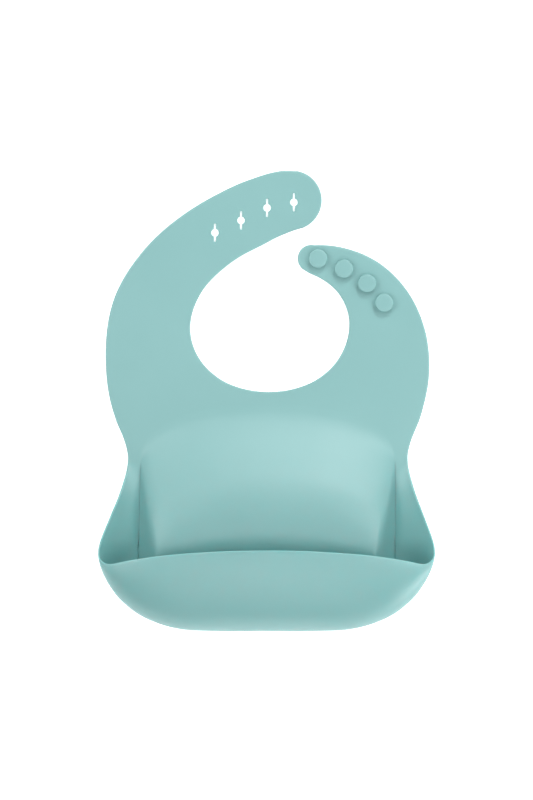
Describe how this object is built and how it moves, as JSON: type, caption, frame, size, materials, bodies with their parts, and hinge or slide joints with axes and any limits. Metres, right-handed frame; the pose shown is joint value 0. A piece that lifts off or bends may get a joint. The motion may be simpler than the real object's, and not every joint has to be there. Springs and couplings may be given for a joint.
{
  "type": "silicone bib",
  "caption": "Soft one-material toddler bib with a standing crumb pouch, round neck opening and a stud-and-keyhole neck strap.",
  "frame": {"origin": "under the middle of the bib lying on its back, on the surface that it lies on", "axes": "+X to the right as seen from the front, +Y towards the neck straps, +Z out of the front"},
  "size_m": [0.2222, 0.305, 0.046],
  "materials": {
    "silicone": "matt, smooth moulded silicone"
  },
  "bodies": {
    "panel": {"belly_panel": "silicone", "left_gusset": "silicone", "right_gusset": "silicone", "pouch_floor": "silicone"},
    "front": {"pouch_front": "silicone"},
    "yoke": {"yoke": "silicone"},
    "hole_strap_base": {"hole_strap_base": "silicone"},
    "hole_strap_mid": {"hole_strap_mid": "silicone"},
    "hole_strap_tip": {"hole_strap_tip": "silicone"},
    "stud_strap_base": {"stud_strap_base": "silicone", "stud_3": "silicone", "stud_4": "silicone"},
    "stud_strap_tip": {"stud_strap_tip": "silicone", "stud_1": "silicone", "stud_2": "silicone"}
  },
  "joints": [
    {"name": "pouch_open", "type": "hinge", "parent": "panel", "child": "front", "pos_m": [0, -0.1502, 0.0095], "axis": [1, 0, 0], "range_deg": [-12, 35], "stiffness_Nm_per_rad": 0.35},
    {"name": "yoke_fold", "type": "hinge", "parent": "panel", "child": "yoke", "pos_m": [0, 0, 0.0018], "axis": [1, 0, 0], "range_deg": [0, 90], "stiffness_Nm_per_rad": 0.05},
    {"name": "hole_strap_base_bend", "type": "hinge", "parent": "yoke", "child": "hole_strap_base", "pos_m": [-0.0716, 0.0682, 0.0018], "axis": [0.9659, -0.2588, 0], "range_deg": [0, 45], "stiffness_Nm_per_rad": 0.02},
    {"name": "hole_strap_mid_bend", "type": "hinge", "parent": "hole_strap_base", "child": "hole_strap_mid", "pos_m": [-0.0465, 0.1024, 0.0018], "axis": [0.6691, -0.7431, 0], "range_deg": [0, 45], "stiffness_Nm_per_rad": 0.015},
    {"name": "hole_strap_tip_bend", "type": "hinge", "parent": "hole_strap_mid", "child": "hole_strap_tip", "pos_m": [-0.0087, 0.1248, 0.0018], "axis": [0.1392, -0.9903, 0], "range_deg": [0, 45], "stiffness_Nm_per_rad": 0.01},
    {"name": "stud_strap_base_bend", "type": "hinge", "parent": "yoke", "child": "stud_strap_base", "pos_m": [0.0807, 0.0416, 0.0018], "axis": [0.9962, -0.0872, 0], "range_deg": [0, 60], "stiffness_Nm_per_rad": 0.015},
    {"name": "stud_strap_tip_bend", "type": "hinge", "parent": "stud_strap_base", "child": "stud_strap_tip", "pos_m": [0.0603, 0.0835, 0.0018], "axis": [0.8572, 0.515, 0], "range_deg": [0, 60], "stiffness_Nm_per_rad": 0.01}
  ]
}
